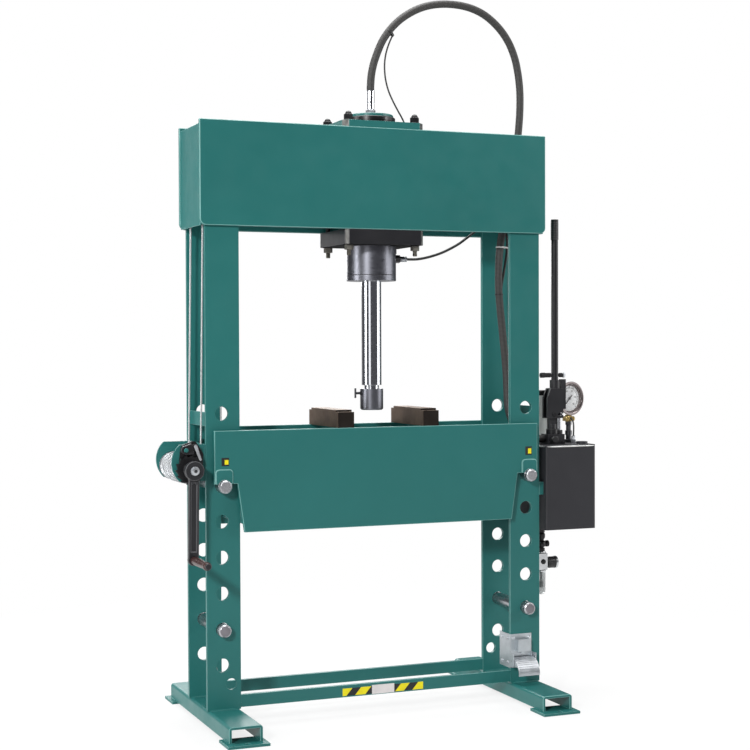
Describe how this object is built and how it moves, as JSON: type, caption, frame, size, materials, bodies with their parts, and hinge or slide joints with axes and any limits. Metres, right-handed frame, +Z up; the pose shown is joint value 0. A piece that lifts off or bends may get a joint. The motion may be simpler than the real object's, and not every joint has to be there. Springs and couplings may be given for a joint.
{
  "type": "hydraulic press",
  "caption": "Workshop H-frame hydraulic press with a hand pump, pressure gauge, lifting table, cable winch and foot pedal",
  "frame": {"origin": "Middle of the four floor anchor holes, on the underside of the floor pads", "axes": "+X to the pump's side, -Y to the operator, +Z up"},
  "size_m": [1.3841, 0.682, 2.1545],
  "materials": {
    "green_paint": "blue-green gloss paint",
    "black_paint": "satin black paint",
    "turned_steel": "turned steel, oiled",
    "bright_steel": "hard chrome and bright wire",
    "zinc": "zinc plate and cast alloy",
    "hose_rubber": "braided hose cover",
    "knob_plastic": "moulded black",
    "grip_plastic": "dark red-brown moulding",
    "dial_white": "white dial",
    "gauge_glass": "clear cover",
    "tee_brass": "turned brass"
  },
  "bodies": {
    "frame": {"beam_front": "green_paint", "beam_back": "green_paint", "beam_ends": "green_paint", "upright_front_left": "green_paint", "upright_back_left": "green_paint", "upright_front_right": "green_paint", "upright_back_right": "green_paint", "frame_ties": "green_paint", "foot_left": "green_paint", "foot_right": "green_paint", "floor_pads": "green_paint", "cross_rails": "green_paint", "support_pins": "turned_steel", "cylinder_flange": "black_paint", "cylinder_barrel": "black_paint", "cylinder_gland": "black_paint", "cylinder_cap": "black_paint", "cylinder_top_plate": "green_paint", "clamp_studs": "black_paint", "hose_fittings": "bright_steel", "pressure_hose": "hose_rubber", "return_hose": "hose_rubber", "hose_tether": "hose_rubber", "gauge_line": "hose_rubber", "winch_bracket": "green_paint", "hinge_pins": "turned_steel", "lift_cables": "bright_steel", "oil_tank": "black_paint", "tank_lid": "black_paint", "pump_base": "black_paint", "gauge_case": "black_paint", "gauge_dial": "dial_white", "gauge_glass": "gauge_glass", "gauge_stem": "tee_brass", "air_motor": "zinc", "regulator_body": "zinc", "pedal_bracket": "zinc"},
    "ram": {"ram_piston": "turned_steel", "ram_rod": "bright_steel", "ram_nose": "turned_steel"},
    "nose_screw": {"nose_screw": "turned_steel"},
    "table": {"table_front": "green_paint", "table_back": "green_paint", "table_ends": "green_paint", "press_block_left": "turned_steel", "press_block_right": "turned_steel", "cable_drops": "bright_steel"},
    "winch": {"winch_drum": "turned_steel", "crank_arm": "black_paint"},
    "grip": {"crank_grip": "grip_plastic"},
    "pawl": {"ratchet_pawl": "black_paint"},
    "sheave_pair": {"sheaves_left": "turned_steel"},
    "sheave_far": {"sheave_right": "turned_steel"},
    "lever": {"lever_socket": "black_paint", "pump_lever": "black_paint"},
    "plunger": {"pump_plunger": "bright_steel"},
    "release": {"release_knob": "knob_plastic"},
    "needle": {"gauge_needle": "black_paint"},
    "knob": {"regulator_knob": "knob_plastic"},
    "pedal": {"pedal": "zinc"}
  },
  "joints": [
    {"name": "ram_slide", "type": "slide", "parent": "frame", "child": "ram", "axis": [0, 0, 1], "range_m": [0, 0.31]},
    {"name": "nose_screw_turn", "type": "hinge", "parent": "ram", "child": "nose_screw", "pos_m": [-0.03, 0, 0.951], "axis": [1, 0, 0], "range_deg": [-180, 180]},
    {"name": "table_lift", "type": "slide", "parent": "frame", "child": "table", "axis": [0, 0, 1], "range_m": [0, 0.205], "deforming": ["cable_drops"]},
    {"name": "winch_turn", "type": "hinge", "parent": "frame", "child": "winch", "pos_m": [-0.584, -0.02, 0.746], "axis": [0, 1, 0], "range_deg": [0, 300]},
    {"name": "grip_spin", "type": "hinge", "parent": "winch", "child": "grip", "pos_m": [-0.58662, -0.245, 0.49601], "axis": [0, 1, 0], "continuous": true},
    {"name": "pawl_lift", "type": "hinge", "parent": "frame", "child": "pawl", "pos_m": [-0.598, -0.116, 0.802], "axis": [0, 1, 0], "range_deg": [-20, 0]},
    {"name": "sheave_pair_turn", "type": "hinge", "parent": "frame", "child": "sheave_pair", "pos_m": [-0.4865, 0, 1.56], "axis": [0, 1, 0], "range_deg": [-275, 0]},
    {"name": "sheave_far_turn", "type": "hinge", "parent": "frame", "child": "sheave_far", "pos_m": [0.3995, -0.076, 1.56], "axis": [0, 1, 0], "range_deg": [-275, 0]},
    {"name": "lever_swing", "type": "hinge", "parent": "frame", "child": "lever", "pos_m": [0.612, -0.04, 0.876], "axis": [0, 1, 0], "range_deg": [0, 25]},
    {"name": "plunger_slide", "type": "slide", "parent": "frame", "child": "plunger", "axis": [0, 0, 1], "range_m": [-0.0125, 0]},
    {"name": "release_turn", "type": "hinge", "parent": "frame", "child": "release", "pos_m": [0.6, -0.09, 0.798], "axis": [0, 1, 0], "range_deg": [0, 180]},
    {"name": "needle_turn", "type": "hinge", "parent": "frame", "child": "needle", "pos_m": [0.697, 0.007, 0.923], "axis": [-0.2419, 0.9703, 0], "range_deg": [0, 270]},
    {"name": "knob_turn", "type": "hinge", "parent": "frame", "child": "knob", "pos_m": [0.608, -0.04, 0.409], "axis": [1, 0, 0], "range_deg": [0, 300]},
    {"name": "pedal_press", "type": "hinge", "parent": "frame", "child": "pedal", "pos_m": [0.468, -0.116, 0.124], "axis": [1, 0, 0], "range_deg": [0, 12], "stiffness_Nm_per_rad": 6, "springref_deg": -8.59}
  ],
  "couplings": [
    {"joint": "winch_turn", "follows": "table_lift", "rad_per_m": 23.31},
    {"joint": "sheave_pair_turn", "follows": "table_lift", "rad_per_m": -22.989},
    {"joint": "sheave_far_turn", "follows": "table_lift", "rad_per_m": -22.989},
    {"joint": "plunger_slide", "follows": "lever_swing", "m_per_rad": -0.024}
  ]
}
